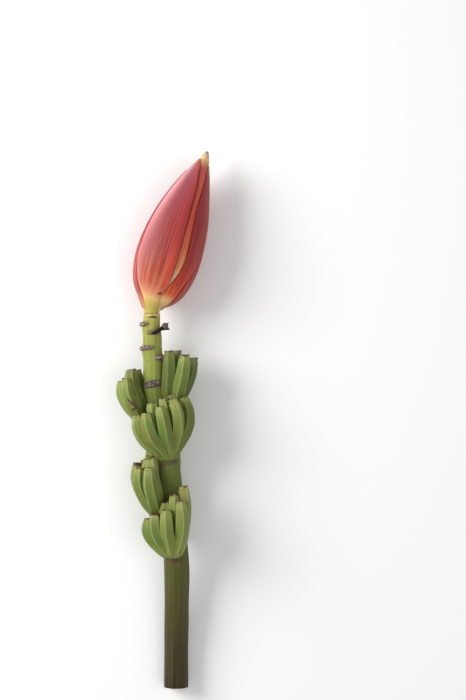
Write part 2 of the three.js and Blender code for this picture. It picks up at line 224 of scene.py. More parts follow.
def waves(seed, *coords, count=7):
    """Smooth seeded unevenness of about unit size: coords are already scaled to its grain."""
    random = np.random.default_rng(seed)
    total = 0.0
    for _ in range(count):
        pitch = random.normal(0, 1, len(coords))
        phase = random.uniform(0, 2 * math.pi)
        total = total + np.sin(sum(p * c for p, c in zip(pitch, coords)) + phase)
    return total / math.sqrt(count)


def unit(v):
    return v / np.linalg.norm(v, axis=-1, keepdims=True)


def ring_of(count):
    """Angles evenly spread round a ring, as one row."""
    return np.linspace(0, 360, count, endpoint=False)[None, :]


def near_side(degrees, facing, none, full):
    """1 within an angle (full) of the side that something faces, falling to 0 at a wider one (none)."""
    return smooth(np.abs((degrees - facing + 180) % 360 - 180), none, full)


class Line:
    """A centre line: places, and at each the directions along it, to its front (up) and its side."""

    def __init__(self, centre, along, front=None):
        self.centre = centre
        self.along = unit(along)
        if front is None:
            front = np.broadcast_to([0.0, 0.0, 1.0], centre.shape)
        across = front - self.along * np.sum(front * self.along, axis=-1, keepdims=True)
        self.front = unit(across)
        self.side = np.cross(self.along, self.front)

    def around(self, degrees, radius):
        """Points at an angle and radius from the line: one row for each place on it."""
        angle = np.radians(degrees)
        out = radius * np.cos(angle)
        aside = radius * np.sin(angle)
        return (self.centre[:, None, :] + out[..., None] * self.front[:, None, :]
                + aside[..., None] * self.side[:, None, :])


stem_x = through(STEM_SIDEWAYS)
stem_z = through(STEM_HEIGHT)
stem_radius = through(STEM_RADIUS)
bud_radius = through(BUD_OUTLINE)


def stem_place(y):
    return np.stack([stem_x(y), y, stem_z(y)], axis=-1)


def stem_line(y):
    y = np.atleast_1d(np.asarray(y, float))
    return Line(stem_place(y), stem_place(y + 1) - stem_place(y - 1))


def bud_line(at):
    """The bud's centre line: a short bend out of the neck, then a slight bow to the tip."""
    at = np.atleast_1d(np.asarray(at, float))
    lean = np.array([math.sin(BUD_TILT), math.cos(BUD_TILT), 0.0])
    start = np.array([float(stem_x(STEM_TOP)), STEM_TOP + GAP, AXIS_HEIGHT])
    corner = start + [0, BEND_REACH, 0]
    end = corner + lean * BEND_REACH
    t = np.clip((at + BUD_NECK) / (BEND_END + BUD_NECK), 0, 1)[:, None]
    bent = start * (1 - t) ** 2 + 2 * corner * t * (1 - t) + end * t * t
    slope = (corner - start) * (1 - t) + (end - corner) * t
    past = np.maximum(at - BEND_END, 0)[:, None]
    line = Line(bent + past * lean, slope)
    bow = BUD_BOW * np.sin(math.pi * past / (BUD_LENGTH - BEND_END))
    line.centre = line.centre - bow * line.side
    return line


def neck_end():
    """Where the solids' stalk ends at the bud: it tells how far the part's frame is moved."""
    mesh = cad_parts["stem"].data
    points = np.array([v.co[:] for v in mesh.vertices]) / MM
    top = points[points[:, 1] > points[:, 1].max() - 0.1]
    return (top.min(axis=0) + top.max(axis=0)) / 2


SHIFT = neck_end() - np.array([float(stem_x(STEM_TOP)), STEM_TOP, AXIS_HEIGHT])


class Pieces:
    """Collects closed meshes with named values at their points, and makes one object of them."""

    def __init__(self):
        self.points = []
        self.faces = []
        self.values = {}
        self.count = 0

    def add(self, points, faces, values):
        self.points.append(points.reshape(-1, 3))
        self.faces.append([tuple(int(k) + self.count for k in face) for face in faces])
        for name, value in values.items():
            self.values.setdefault(name, []).append(np.asarray(value, float).reshape(-1))
        self.count += len(self.points[-1])

    def tube(self, points, values):
        """A closed tube: rows of rings, with a fan at each end."""
        rows, cols = points.shape[:2]
        ends = np.stack([points[0].mean(axis=0), points[-1].mean(axis=0)])
        flat = np.concatenate([points.reshape(-1, 3), ends])
        faces = []
        for i in range(rows - 1):
            for j in range(cols):
                k = (j + 1) % cols
                faces.append((i * cols + j, i * cols + k, (i + 1) * cols + k, (i + 1) * cols + j))
        first, last = rows * cols, rows * cols + 1
        for j in range(cols):
            k = (j + 1) % cols
            faces.append((first, k, j))
            faces.append((last, (rows - 1) * cols + j, (rows - 1) * cols + k))
        ended = {}
        for name, value in values.items():
            value = np.broadcast_to(value, (rows, cols))
            ended[name] = np.concatenate([value.reshape(-1), [value[0].mean(), value[-1].mean()]])
        self.add(flat, faces, ended)

    def shell(self, outer, inner, values):
        """A closed sheet between two grids of points."""
        rows, cols = outer.shape[:2]
        under = rows * cols
        faces = []
        for i in range(rows - 1):
            for j in range(cols - 1):
                a = i * cols + j
                b = a + cols
                faces.append((a, a + 1, b + 1, b))
                faces.append((under + a, under + b, under + b + 1, under + a + 1))
        top = (rows - 1) * cols
        for j in range(cols - 1):
            faces.append((j, under + j, under + j + 1, j + 1))
            faces.append((top + j + 1, under + top + j + 1, under + top + j, top + j))
        for i in range(rows - 1):
            a = i * cols
            b = a + cols
            faces.append((a, b, under + b, under + a))
            a += cols - 1
            b += cols - 1
            faces.append((b, a, under + a, under + b))
        both = {}
        for name, value in values.items():
            both[name] = np.tile(np.broadcast_to(value, (rows, cols)).reshape(-1), 2)
        self.add(np.concatenate([outer.reshape(-1, 3), inner.reshape(-1, 3)]), faces, both)

    def build(self, name, material, sharp=50):
        """One smooth-shaded object in the part's frame, held inside the solids' box."""
        low, high = (np.array(corner) / MM for corner in cad_box)
        points = np.clip(np.concatenate(self.points) + SHIFT, low, high)
        mesh = bpy.data.meshes.new(name)
        mesh.from_pydata((points * MM).tolist(), [], [face for faces in self.faces for face in faces])
        for label, value in self.values.items():
            layer = mesh.attributes.new(label, "FLOAT", "POINT")
            layer.data.foreach_set("value", np.concatenate(value).astype(np.float32))
        mesh.polygons.foreach_set("use_smooth", [True] * len(mesh.polygons))
        mesh.set_sharp_from_angle(angle=math.radians(sharp))
        mesh.materials.append(material)
        mesh.update()
        piece = bpy.data.objects.new(name, mesh)
        bpy.context.scene.collection.objects.link(piece)
        return piece


# Materials


def srgb(red, green, blue):
    """A colour given as it looks on screen, 0 to 255, in linear numbers."""
    linear = []
    for part in (red / 255, green / 255, blue / 255):
        linear.append(part / 12.92 if part <= 0.04045 else ((part + 0.055) / 1.055) ** 2.4)
    return (*linear, 1.0)


class Finish:
    """A material's nodes, by short names."""

    def __init__(self, name, roughness, specular=0.3):
        self.material = bpy.data.materials.new(name)
        self.material.use_nodes = True
        self.tree = self.material.node_tree
        self.shader = self.tree.nodes["Principled BSDF"]
        self.shader.inputs["Roughness"].default_value = roughness
        self.shader.inputs["Specular IOR Level"].default_value = specular

    def node(self, kind, inputs=(), **settings):
        node = self.tree.nodes.new(kind)
        for name, value in settings.items():
            setattr(node, name, value)
        for socket, value in inputs:
            if isinstance(value, bpy.types.NodeSocket):
                self.tree.links.new(value, node.inputs[socket])
            else:
                node.inputs[socket].default_value = value
        return node

    def value(self, name):
        """A named value that the mesh's points have."""
        node = self.node("ShaderNodeAttribute", attribute_type="GEOMETRY", attribute_name=name)
        return node.outputs["Fac"]

    def times(self, a, b):
        return self.node("ShaderNodeMath", [(0, a), (1, b)], operation="MULTIPLY").outputs[0]

    def band(self, value, low, high, to_low=0.0, to_high=1.0):
        """Goes smoothly from to_low to to_high while the value goes from low to high."""
        inputs = [("Value", value), ("From Min", low), ("From Max", high),
                  ("To Min", to_low), ("To Max", to_high)]
        node = self.node("ShaderNodeMapRange", inputs, interpolation_type="SMOOTHSTEP")
        return node.outputs["Result"]

    def place(self):
        return self.node("ShaderNodeTexCoord").outputs["Object"]

    def noise(self, vector, scale=1.0, detail=3.0, roughness=0.5):
        inputs = [("Vector", vector), ("Scale", scale), ("Detail", detail), ("Roughness", roughness)]
        return self.node("ShaderNodeTexNoise", inputs).outputs["Fac"]

    def streaks(self, around, along, third=0.0, scale=1.0, detail=3.0):
        """Noise drawn out along the piece: how fine it is around the piece and along it."""
        across = self.times(self.value("around"), around)
        length = self.times(self.value("along"), along)
        node = self.node("ShaderNodeCombineXYZ", [(0, across), (1, length), (2, third)])
        return self.noise(node.outputs[0], scale, detail)

    def ramp(self, value, low, high, stops):
        """Colours against a value: each stop is the value and its colour."""
        share = self.node("ShaderNodeMapRange", [("Value", value), ("From Min", low), ("From Max", high)])
        node = self.node("ShaderNodeValToRGB", [("Fac", share.outputs["Result"])])
        ramp = node.color_ramp
        while len(ramp.elements) < len(stops):
            ramp.elements.new(0.5)
        for element, (at, colour) in zip(ramp.elements, stops):
            element.position = (at - low) / (high - low)
            element.color = srgb(*colour)
        return node.outputs["Color"]

    def mix(self, share, a, b):
        """From colour a to colour b, each a socket or three numbers from 0 to 255."""
        a = a if isinstance(a, bpy.types.NodeSocket) else srgb(*a)
        b = b if isinstance(b, bpy.types.NodeSocket) else srgb(*b)
        # Sockets 6 and 7 are the two colours, and output 2 is the mixed one
        return self.node("ShaderNodeMix", [("Factor", share), (6, a), (7, b)], data_type="RGBA").outputs[2]

    def colour(self, socket):
        self.tree.links.new(socket, self.shader.inputs["Base Color"])

    def rough(self, socket):
        self.tree.links.new(socket, self.shader.inputs["Roughness"])

    def bump(self, height, distance):
        node = self.node("ShaderNodeBump", [("Height", height), ("Distance", distance)])
        self.tree.links.new(node.outputs["Normal"], self.shader.inputs["Normal"])


def stalk_finish():
    f = Finish("stalk_skin", 0.5)
    along = f.value("along")
    # Browner towards the cut end: partly the stalk's own colour, and its darkest brown near the cut is
    # painted shade
    base = f.ramp(along, 0, 490, [
        (0, (50, 38, 14)), (60, (62, 52, 20)), (130, (80, 76, 28)), (215, (88, 94, 36)),
        (290, (102, 114, 46)), (380, (116, 134, 58)), (410, (146, 156, 70)), (440, (160, 166, 76)),
        (470, (174, 172, 82)), (489, (190, 182, 90))])
    # Long greener streaks, and paler pleats that fade towards the cut end under its painted shade
    streak = f.streaks(0.09, 0.006, scale=2.0, detail=4.0)
    base = f.mix(f.band(streak, 0.45, 0.75, 0, 0.5), base, (88, 96, 40))
    pleats = f.streaks(0.35, 0.012, 7.0, scale=1.6)
    paler = f.times(f.band(pleats, 0.5, 0.8), f.band(along, 40, 300, 0.08, 0.28))
    base = f.mix(paler, base, (180, 182, 104))
    # Corky freckles
    spot = f.noise(f.place(), 420.0, 2.0)
    base = f.mix(f.band(spot, 0.66, 0.74, 0, 0.5), base, (92, 74, 44))
    base = f.mix(f.value("stain"), base, (96, 78, 58))
    # The cut face: pale pith with darker strands and a browned rim
    strands = f.noise(f.place(), 900.0, 1.0)
    pith = f.mix(f.band(strands, 0.5, 0.62), (203, 196, 150), (150, 132, 84))
    pith = f.mix(f.band(f.value("face"), 1.0, 0.86), (112, 84, 48), pith)
    base = f.mix(f.band(f.value("cut"), 0.4, 0.6), base, pith)
    f.colour(base)
    f.bump(f.streaks(0.6, 0.08, scale=2.5, detail=4.0), 0.0006)
    f.rough(f.band(streak, 0.3, 0.8, 0.42, 0.6))
    return f.material


def scar_finish():
    f = Finish("scar_cork", 0.85, 0.2)
    coarse = f.noise(f.place(), 260.0, 4.0, 0.7)
    base = f.mix(f.band(coarse, 0.35, 0.65), (84, 68, 62), (178, 162, 154))
    blotch = f.noise(f.place(), 90.0, 2.0)
    base = f.mix(f.band(blotch, 0.5, 0.7, 0, 0.6), base, (120, 96, 74))
    grain = f.band(coarse, 0.3, 0.7)
    base = f.mix(f.value("pale"), base, f.mix(grain, (186, 162, 100), (212, 190, 132)))
    base = f.mix(f.value("brown"), base, f.mix(grain, (80, 62, 42), (116, 94, 64)))
    base = f.mix(f.value("dark"), base, (44, 33, 26))
    f.colour(base)
    f.bump(coarse, 0.0008)
    return f.material


def fruit_finish():
    f = Finish("young_fruit_skin", 0.45)
    seed = f.value("seed")
    base = f.ramp(f.value("along"), 0, 1, [
        (0.0, (146, 158, 80)), (0.14, (134, 150, 72)), (0.4, (103, 125, 55)), (0.78, (107, 129, 60)),
        (0.93, (144, 154, 84)), (1.0, (156, 158, 98))])
    base = f.mix(f.band(seed, 0, 1, 0.0, 0.4), base, (150, 158, 78))
    streak = f.streaks(0.05, 1.4, seed, scale=3.0)
    base = f.mix(f.band(streak, 0.5, 0.75, 0, 0.45), base, (82, 102, 40))
    base = f.mix(f.band(f.value("ridge"), 0.6, 1.0, 0, 0.5), base, (176, 188, 112))
    # Bronze stains that run down from some tips
    rust = f.streaks(0.035, 1.6, f.times(seed, 9.0), scale=2.0)
    base = f.mix(f.band(rust, 0.54, 0.7, 0, 0.75), base, (150, 102, 44))
    bruise = f.noise(f.place(), 60.0, 3.0)
    base = f.mix(f.band(bruise, 0.68, 0.76, 0, 0.6), base, (104, 70, 38))
    # Painted shade: some fingers are darkened towards deep green, as if they lay in the shadow of the others
    base = f.mix(f.value("shade"), base, (44, 62, 26))
    base = f.mix(f.value("dark"), base, (84, 58, 36))
    f.colour(base)
    f.bump(f.streaks(0.25, 6.0, seed, scale=3.0, detail=4.0), 0.0004)
    f.rough(f.band(streak, 0.3, 0.8, 0.38, 0.52))
    return f.material


# Each bract's colours against the distance from the bend
BRACT_COLOURS = {
    "bract_front": [
        (-10, (184, 172, 84)), (2, (206, 186, 100)), (8, (230, 190, 118)), (15, (216, 144, 106)),
        (26, (184, 96, 72)), (44, (156, 58, 38)), (68, (136, 32, 32)), (112, (144, 52, 54)),
        (165, (152, 74, 84)), (188, (158, 90, 102)), (201, (176, 116, 84))],
    "bract_right": [
        (-10, (200, 176, 96)), (2, (236, 200, 136)), (11, (248, 200, 138)), (21, (230, 96, 58)),
        (42, (196, 52, 34)), (70, (158, 34, 30)), (120, (146, 30, 34)), (180, (158, 56, 58)),
        (197, (200, 150, 116))],
    "bract_back": [
        (-10, (186, 160, 88)), (2, (198, 118, 86)), (12, (174, 62, 56)), (30, (172, 54, 54)),
        (60, (168, 54, 58)), (110, (156, 54, 68)), (160, (152, 58, 76)), (186, (190, 140, 110))],
    # The inner bud's cream between the front and the right bract is its own colour lifted towards white,
    # painted light against the shade of that narrow gap
    "inner_bud": [
        (-10, (190, 164, 88)), (20, (255, 236, 190)), (40, (255, 226, 176)), (56, (236, 150, 96)),
        (80, (222, 108, 68)), (120, (206, 80, 58)), (190, (196, 92, 78)), (197, (208, 150, 112)),
        (203, (216, 184, 138)), (208, (204, 180, 142)), (211, (140, 134, 122))],
}
RIM_COLOURS = {"bract_front": (184, 60, 56), "bract_right": (132, 40, 40), "bract_back": (220, 116, 100),
               "inner_bud": (160, 80, 70)}


def bract_finish(name):
    """A waxy bract: its colours from foot to tip, streaks along its ribs, specks, margins and marks."""
    f = Finish(name + "_skin", 0.42)
    along = f.value("along")
    around = f.value("around")
    stops = BRACT_COLOURS[name]
    base = f.ramp(along, stops[0][0], stops[-1][0], stops)
    if name == "bract_front":
        # A painted highlight makes it paler on its lit side, away from the inner bud; deeper red next to it
        pale = f.times(f.band(around, -26, -64), f.band(along, 60, 170, 0.5, 0.85))
        base = f.mix(f.times(pale, f.band(along, 10, 40)), base, (236, 160, 166))
        deep = f.times(f.band(around, -24, 20, 0, 0.6), f.band(along, 30, 80))
        base = f.mix(deep, base, (196, 62, 54))
        # A painted highlight along its left margin
        brim = f.times(f.value("brim"), f.band(along, 4, 24, 0, 0.3))
        base = f.mix(brim, base, (240, 160, 154))
        # Painted light: a brighter red low down along its right margin, where that side lies in shade
        painted_glow = f.times(f.band(around, 0, 15, 0, 0.65), f.band(along, 16, 36))
        base = f.mix(f.times(painted_glow, f.band(along, 110, 56)), base, (234, 82, 50))
    if name == "bract_back":
        # Deeper on its right side, and a painted shadow where it slips under the front bract
        deep = f.times(f.band(around, 200, 120, 0, 0.9), f.band(along, 2, 20))
        base = f.mix(deep, base, (166, 44, 40))
        base = f.mix(f.times(f.value("brim"), f.band(along, 4, 20)), base, (124, 18, 26))
    # Broad streaks low down, fine ribs higher up
    low = f.band(along, 34, 92, 1, 0.1)
    broad = f.value("broad")
    base = f.mix(f.times(f.band(broad, 0.1, 1.3, 0, 0.4), low), base, (222, 126, 92))
    dark = f.times(f.band(broad, -0.1, -1.3, 0, 0.55), f.times(low, f.band(along, 6, 30)))
    base = f.mix(dark, base, (144, 60, 34))
    rib = f.value("rib")
    # The fine ribs: paler crests as a painted highlight, and darker grooves as painted shade
    base = f.mix(f.band(rib, 0.1, 0.9, 0, 0.25), base, (224, 128, 122))
    base = f.mix(f.band(rib, -0.1, -0.8, 0, 0.6), base, (136, 40, 46))
    fine = f.streaks(0.5, 0.02, 3.0)
    base = f.mix(f.band(fine, 0.5, 0.8, 0, 0.3), base, (150, 56, 60))
    speck = f.noise(f.place(), 700.0, 2.0)
    base = f.mix(f.band(speck, 0.7, 0.78, 0, 0.35), base, (240, 190, 180))
    rim = f.value("rim")
    base = f.mix(f.times(rim, f.band(along, 20, 120, 0.1, 0.7)), base, RIM_COLOURS[name])
    if name == "bract_front":
        # Its right margin has a dark line of painted shade, as in the crease where it meets the inner bud,
        # and its tip is torn and brown
        line = f.times(f.band(rim, 0.88, 0.98), f.band(along, 24, 44, 0, 0.8))
        base = f.mix(line, base, (104, 18, 20))
        base = f.mix(f.times(f.value("torn"), 0.8), base, (160, 100, 62))
    base = f.mix(f.value("mark"), base, (70, 40, 32))
    f.colour(base)
    f.bump(fine, 0.0003)
    f.rough(f.band(fine, 0.3, 0.8, 0.36, 0.5))
    return f.material


def plain_finish(name, colour, roughness):
    f = Finish(name, roughness)
    f.shader.inputs["Base Color"].default_value = srgb(*colour)
    return f.material


# The stalk


def swell(y, degrees):
    """The neck swells a little under each flower scar."""
    total = 0.0
    for at, facing, *_ in FLOWER_SCARS:
        below = np.exp(-(((at - SWELLING["below"] - y) / SWELLING["tall"]) ** 2))
        total = total + SWELLING["most"] * below * np.maximum(0, np.cos(np.radians(degrees - facing)))
    return total


def stain(y, degrees):
    """How browned the skin is, next to the scars."""
    total = 0.0
    for at, facing, arc, tall, *_ in FLOWER_SCARS[FOOT_RING + 1:]:
        beside = near_side(degrees, facing, arc * 0.62, arc * 0.4)
        total = total + 0.7 * beside * np.exp(-(((at - y) / (tall * 0.7)) ** 2))
    for hand in HANDS.values():
        beside = near_side(degrees, hand["facing"], 80, 50)
        scar = hand["foot"] - BRACT_SCAR["below"]
        total = total + 0.6 * beside * np.exp(-(((scar - y) / 2.5) ** 2))
    return np.clip(total, 0, 1)


def make_stalk():
    face_rows = len(CUT_FACE_RINGS)
    rows = np.concatenate([[0] * face_rows, np.arange(0, STEM_TOP, STALK_ROW), [STEM_TOP]])
    share = np.ones(len(rows))
    share[:face_rows] = CUT_FACE_RINGS
    degrees = ring_of(84)
    angle = np.radians(degrees)
    y = rows[:, None]
    pleat = waves(3, angle * 5.5, y * 0.012) + 0.6 * waves(4, angle * 11, y * 0.02)
    radius = stem_radius(y) + swell(y, degrees) + PLEATS * pleat
    radius = radius + UNEVEN_SKIN * waves(5, y * 0.05 + 0 * degrees, angle)
    line = stem_line(rows)
    points = line.around(degrees + 0 * y, radius * share[:, None])
    pieces = Pieces()
    pieces.tube(points, {
        "along": y + 0 * degrees,
        "around": degrees + 0 * y,
        "stain": stain(y, degrees),
        "face": share[:, None] + 0 * degrees,
        "cut": (share[:, None] < 1) + 0 * degrees,
    })
    stalk = pieces.build("stalk", stalk_finish(), 60)
    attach(stalk, "root")
    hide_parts("stem")


def scar_ridge(pieces, at, facing, arc, tall, proud, slant, seed, look):
    """A rough corky lens of scar tissue, pointed at both ends: dark, pale or brown by its look."""
    turns = np.linspace(-0.5, 0.5, 72)
    fade = 0.06 + 0.94 * (1 - np.abs(2 * turns) ** 2.2) ** 0.7
    wander = slant * turns + tall * 0.07 * waves(seed, turns * 14)
    line = stem_line(at + wander)
    degrees = facing + turns * arc
    y = line.centre[:, 1]
    angle = np.radians(degrees)
    out = line.front * np.cos(angle)[:, None] + line.side * np.sin(angle)[:, None]
    skin = stem_radius(y) + swell(y, degrees) - SCAR_SUNK
    centre = line.centre + out * skin[:, None]
    ridge = Line(centre, np.gradient(centre, axis=0), out)
    ring = np.radians(ring_of(24))
    cos, sin = np.cos(ring), np.sin(ring)
    rough = 1 + 0.16 * waves(seed + 1, turns[:, None] * 50, cos * 2, sin * 2)
    rough = rough + 0.1 * waves(seed + 2, turns[:, None] * 120, cos * 4, sin * 4)
    high = (proud * fade[:, None] + SCAR_SUNK) * rough * np.abs(cos) ** 0.6 * np.sign(cos)
    wide = 0.5 * tall * fade[:, None] * rough * np.abs(sin) ** 0.8 * np.sign(sin)
    points = (ridge.centre[:, None, :] + ridge.front[:, None, :] * high[..., None]
              + ridge.side[:, None, :] * wide[..., None])
    flat = 0 * high
    border = smooth(np.abs(sin), 0.6, 0.95) * smooth(cos, -0.5, 0) + flat
    pieces.tube(points, {
        "dark": np.clip(0.8 * border + look.get("dark", 0), 0, 1),
        "pale": look.get("pale", 0) + flat,
        "brown": look.get("brown", 0) + flat,
    })


def make_scars():
    pieces = Pieces()
    looks = {FOOT_RING: {"pale": 1, "dark": -0.7}, LOWEST_SCAR: {"dark": 0.38}}
    for k, scar in enumerate(FLOWER_SCARS):
        scar_ridge(pieces, *scar, 10 + 3 * k, looks.get(k, {}))
    scar_ridge(pieces, *DARK_CRACK, 44, {"dark": 0.8})
    for k, hand in enumerate(HANDS.values()):
        at = hand["foot"] - BRACT_SCAR["below"]
        proud = BRACT_SCAR["proud"] * LOWER_RIDGE
        scar_ridge(pieces, at, hand["facing"], BRACT_SCAR["arc"], BRACT_SCAR["tall"], proud,
                   RIDGE_SLANT, 50 + 3 * k, {"brown": 0.9})
    scars = pieces.build("bract_and_flower_scars", scar_finish(), 80)
    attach(scars, "root")


def on_neck(spots):
    """Places given as a side, a distance from the neck's axis and a rise along it."""
    base = stem_line(FLOWER_FOOT)
    places = []
    for side, out, rise in spots:
        place = base.around(np.array([[side]]), np.array([[out]]))[0, 0]
        places.append(place + base.along[0] * rise)
    return np.array(places)


def dried_tube(pieces, places, thickness, brown, seed):
    """One shrivelled strand through its places."""
    knots = np.linspace(0, 1, len(places))
    t = np.linspace(0, 1, 64)
    centre = np.stack([through(list(zip(knots, places[:, k])))(t) for k in range(3)], axis=-1)
    line = Line(centre, np.gradient(centre, axis=0))
    thick = through(thickness)(t)[:, None]
    ring = ring_of(22)
    angle = np.radians(ring)
    shrivel = 1 + 0.18 * waves(seed, angle * 3, t[:, None] * 6)
    shrivel = shrivel + 0.1 * waves(seed + 1, angle * 5, t[:, None] * 34)
    points = line.around(ring + 0 * thick, thick * shrivel)
    patchy = np.clip(0.8 + 0.4 * waves(seed + 2, angle * 2, t[:, None] * 12), 0, 1)
    tan = through(brown)(t)[:, None] * patchy
    pieces.tube(points, {"dark": 1 - tan, "brown": tan, "pale": 0 * tan})


def make_dried_flower():
    """A withered flower still caught on the neck."""
    pieces = Pieces()
    for part in DRIED_FLOWER:
        dried_tube(pieces, on_neck(part["places"]), part["thick"], part["brown"], part["seed"])
    flower = pieces.build("dried_flower", scar_finish(), 70)
    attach(flower, "root")


def make_dried_threads():
    """Withered threads of a flower, caught between two hands."""
    pieces = Pieces()
    for k, strand in enumerate(DRIED_THREADS):
        dried_tube(pieces, np.array(strand), THREAD_THICK, THREAD_BROWN, 90 + 4 * k)
    threads = pieces.build("dried_threads", scar_finish(), 70)
    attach(threads, "root")


# Hands of young fruit


def seeded(seed):
    """The same repeatable run of numbers from 0 to 1 that the solids draw from."""
    state = seed
    while True:
        state = (state * 16807) % 2147483647
        yield state / 2147483647


def pentagon(degrees):
    """A rounded five-sided section: 1 at its ridges, about 0.8 on its flats."""
    total = 0.0
    power = 26
    for k in range(FINGER_SIDES):
        flat = 360 / FINGER_SIDES * (k + 0.5)
        total = total + np.maximum(np.cos(np.radians(degrees - flat)), 0) ** power
    inner = math.cos(math.pi / FINGER_SIDES)
    return inner * total ** (-1 / power)


# Against a finger's length: how far it has swung from the crown's side to its own, and its thickness
finger_swing = through([(0, 0.45), (0.1, 0.6), (0.38, 0.92), (0.7, 1), (1, 1)])
finger_thickness = through([(0, 0.7), (0.2, 0.9), (0.45, 1), (0.72, 0.97), (0.86, 0.87), (0.928, 0.81),
                            (0.938, 0.79), (0.948, 0.72), (0.975, 0.69), (1, 0.71)])
FINGER_ROWS = [*np.linspace(0, 0.9, 36), 0.915, 0.928, 0.936, 0.942, 0.948, 0.96, 0.975, 0.99, 1.0]
# The tip is a shallow cup where the flower fell off: share of the tip's radius, and height
TIP_CUP = [(0.84, -0.3), (0.66, -1.0), (0.4, -1.3), (0.2, -1.3)]


def finger(pieces, hand, turn, reach, length, seed):
    """One young fruit: narrow at its root, five-sided, and blunt where the flower was."""
    base = stem_line(hand["foot"])
    stalk = float(stem_radius(hand["foot"]))
    t = np.array(FINGER_ROWS)
    shares = LEANING_OUT if hand.get("leans") else UPRIGHT_OUT
    root = [(0, stalk - ROOT_SUNK), (0.1, stalk + ROOT_OUT)]
    outwards = through(root + [(at, reach * share) for at, share in shares])

    def place(t):
        side = hand["facing"] + (turn - hand["facing"]) * finger_swing(t)
        rise = ROOT_RISE + (length - ROOT_RISE) * t
        points = base.around(side[None, :], outwards(t)[None, :])[0] + base.along[0] * rise[:, None]
        points[:, 2] = np.maximum(points[:, 2], FINGER_RADIUS * REST_SHARE)
        return points

    centre = place(t)
    facing_out = base.around(np.array([[turn]]), np.array([[1.0]]))[0, 0] - base.centre[0]
    line = Line(centre, place(t + 0.01) - place(t - 0.01), np.broadcast_to(facing_out, centre.shape))
    thick = finger_thickness(t)[:, None] * FINGER_RADIUS * SLIMMER
    ring = ring_of(50)
    angle = np.radians(ring)
    section = pentagon(ring)
    ridge = np.clip((section - 0.82) / 0.14, 0, 1)  # from 0 on its flats to 1 on its ridges
    uneven = 1 + 0.022 * waves(seed, t[:, None] * 7, angle * 2)
    uneven = uneven + 0.012 * waves(seed + 5, t[:, None] * 3, angle * 7)
    points = line.around(ring + 0 * thick, thick * section * uneven)
    # The tip's edge is ragged
    ragged = 0.3 * waves(seed + 1, angle * 6)[0] + 0.15 * waves(seed + 4, angle * 15)[0]
    points[-1] += line.along[-1] * ragged[:, None]
    tip = []
    for share, high in TIP_CUP:
        tip.append(centre[-1] + (points[-1] - centre[-1]) * share + line.along[-1] * high)
    points = np.concatenate([points, tip])
    t = np.concatenate([t, np.ones(len(TIP_CUP))])[:, None]
    # The flower's dark scar, broken here and there, and the withered rim
    patchy = np.clip(0.45 + 0.7 * waves(seed + 2, angle * 2), 0, 1)
    scar = patchy * np.exp(-(((t - CUP_EDGE) / 0.005) ** 2))
    browned = RIM_EDGE - 0.012 * waves(seed + 3, angle * 4)
    rim = smooth(t, browned, browned + 0.014) * np.clip(0.75 + 0.4 * waves(seed + 6, angle * 3), 0, 1)
    if turn in hand.get("withered", []):
        rim = np.maximum(rim, smooth(t, browned - 0.04, browned - 0.02))
    grid = np.ones(points.shape[:2])
    pieces.tube(points, {
        "along": t * grid,
        "around": ring * grid,
        "ridge": ridge * grid,
        "seed": (seed * 0.618) % 1 * grid,
        "dark": np.clip(0.85 * scar + rim, 0, 1) * grid,
        # painted shade, for fingers that lie in the shadow of the others
        "shade": hand.get("painted_shade", {}).get(turn, 0) * grid,
    })


def crown(pieces, hand):
    """The fleshy crown that a hand's fingers grow from."""
    base = stem_line(hand["foot"] + CROWN["rise"])
    facing = np.array([[float(hand["facing"])]])
    far = float(stem_radius(hand["foot"])) - CROWN["sunk"]
    middle = base.around(facing, np.array([[far]]))[0, 0]
    out = base.around(facing, np.array([[1.0]]))[0, 0] - base.centre[0]
    along = base.along[0]
    side = np.cross(along, out)
    up = np.radians(np.linspace(-84, 84, 18))[:, None]
    turn = np.radians(ring_of(40))
    size = 0.97 + 0.03 * waves(hand["foot"], turn * 5, up * 2)
    points = (middle + side * (CROWN["wide"] * size * np.cos(up) * np.sin(turn))[..., None]
              + along * (CROWN["tall"] * size * np.sin(up) + 0 * turn)[..., None]
              + out * (CROWN["deep"] * size * np.cos(up) * np.cos(turn))[..., None])
    flat = 0 * up * turn
    pieces.tube(points, {"along": flat + 0.05, "around": np.degrees(turn) + flat, "ridge": flat,
                         "seed": flat + 0.4, "dark": flat, "shade": flat})


def make_hand(name, hand, material):
    random = seeded(hand["foot"])
    pieces = Pieces()
    crown(pieces, hand)
    seed = hand["foot"]
    rows = [(hand["outer"], hand["reach"], hand["length"]),
            (hand["inner"], hand["reach"] * INNER_REACH, hand["length"] + INNER_EXTRA)]
    for turns, reach, length in rows:
        for turn in turns:
            longer = hand.get("skew", 0) * (turn - hand["facing"]) / 90
            further = UNEVEN_REACH * (next(random) - 0.5)
            uneven = UNEVEN_LENGTH * (next(random) - 0.5)
            seed += 11
            finger(pieces, hand, float(turn), reach + further, length + longer + uneven, seed)
    fruit_hand = pieces.build("fruit_" + name, material, 50)
    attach(fruit_hand, "root")
    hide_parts(name)


# The bud

